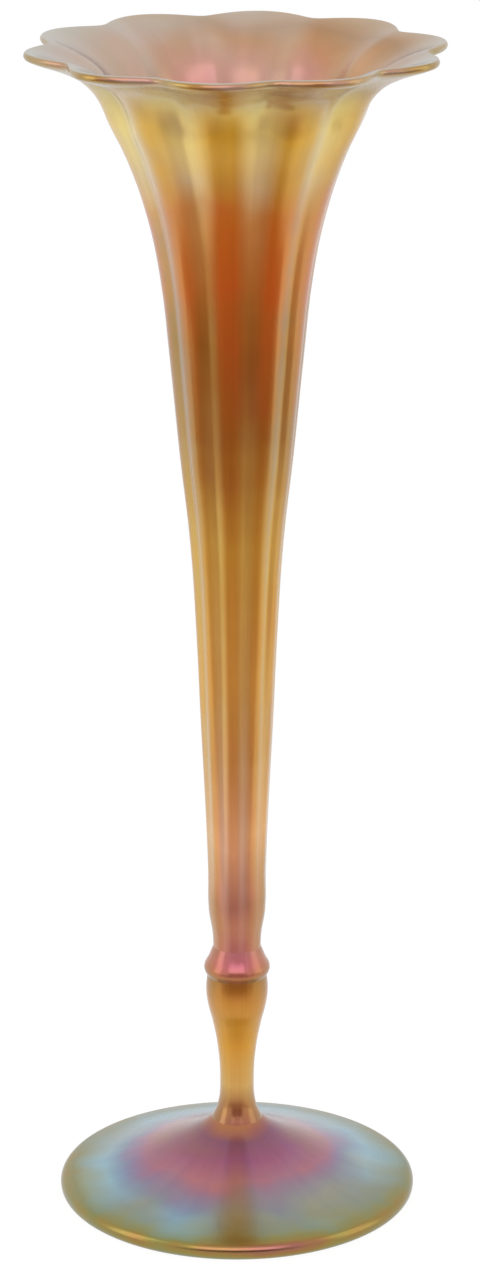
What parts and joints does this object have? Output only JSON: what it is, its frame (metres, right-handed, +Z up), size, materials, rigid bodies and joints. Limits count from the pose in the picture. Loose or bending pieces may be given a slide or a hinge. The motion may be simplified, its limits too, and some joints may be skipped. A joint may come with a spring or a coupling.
{
  "type": "trumpet vase",
  "caption": "Tall stemmed trumpet vase of iridescent blown glass, with a ribbed flaring bowl, scalloped lip, collar, baluster stem and domed round foot.",
  "frame": {"origin": "on the vase's axis, in the plane that the foot rests on", "axes": "+Z up along the vase's axis; a rib of the bowl faces +Y and another faces -Y"},
  "size_m": [0.1004, 0.1044, 0.3015],
  "materials": {
    "bowl_glass": "opaque gold lustre, glossy",
    "collar_glass": "opaque rose gold lustre, glossy",
    "stem_glass": "opaque amber gold lustre, glossy",
    "foot_glass": "opaque lustre, rose to blue, glossy",
    "button_glass": "opaque amber lustre, glossy"
  },
  "bodies": {
    "root": {"bowl": "bowl_glass", "collar": "collar_glass", "stem": "stem_glass", "foot": "foot_glass", "pontil_button": "button_glass"}
  },
  "joints": []
}
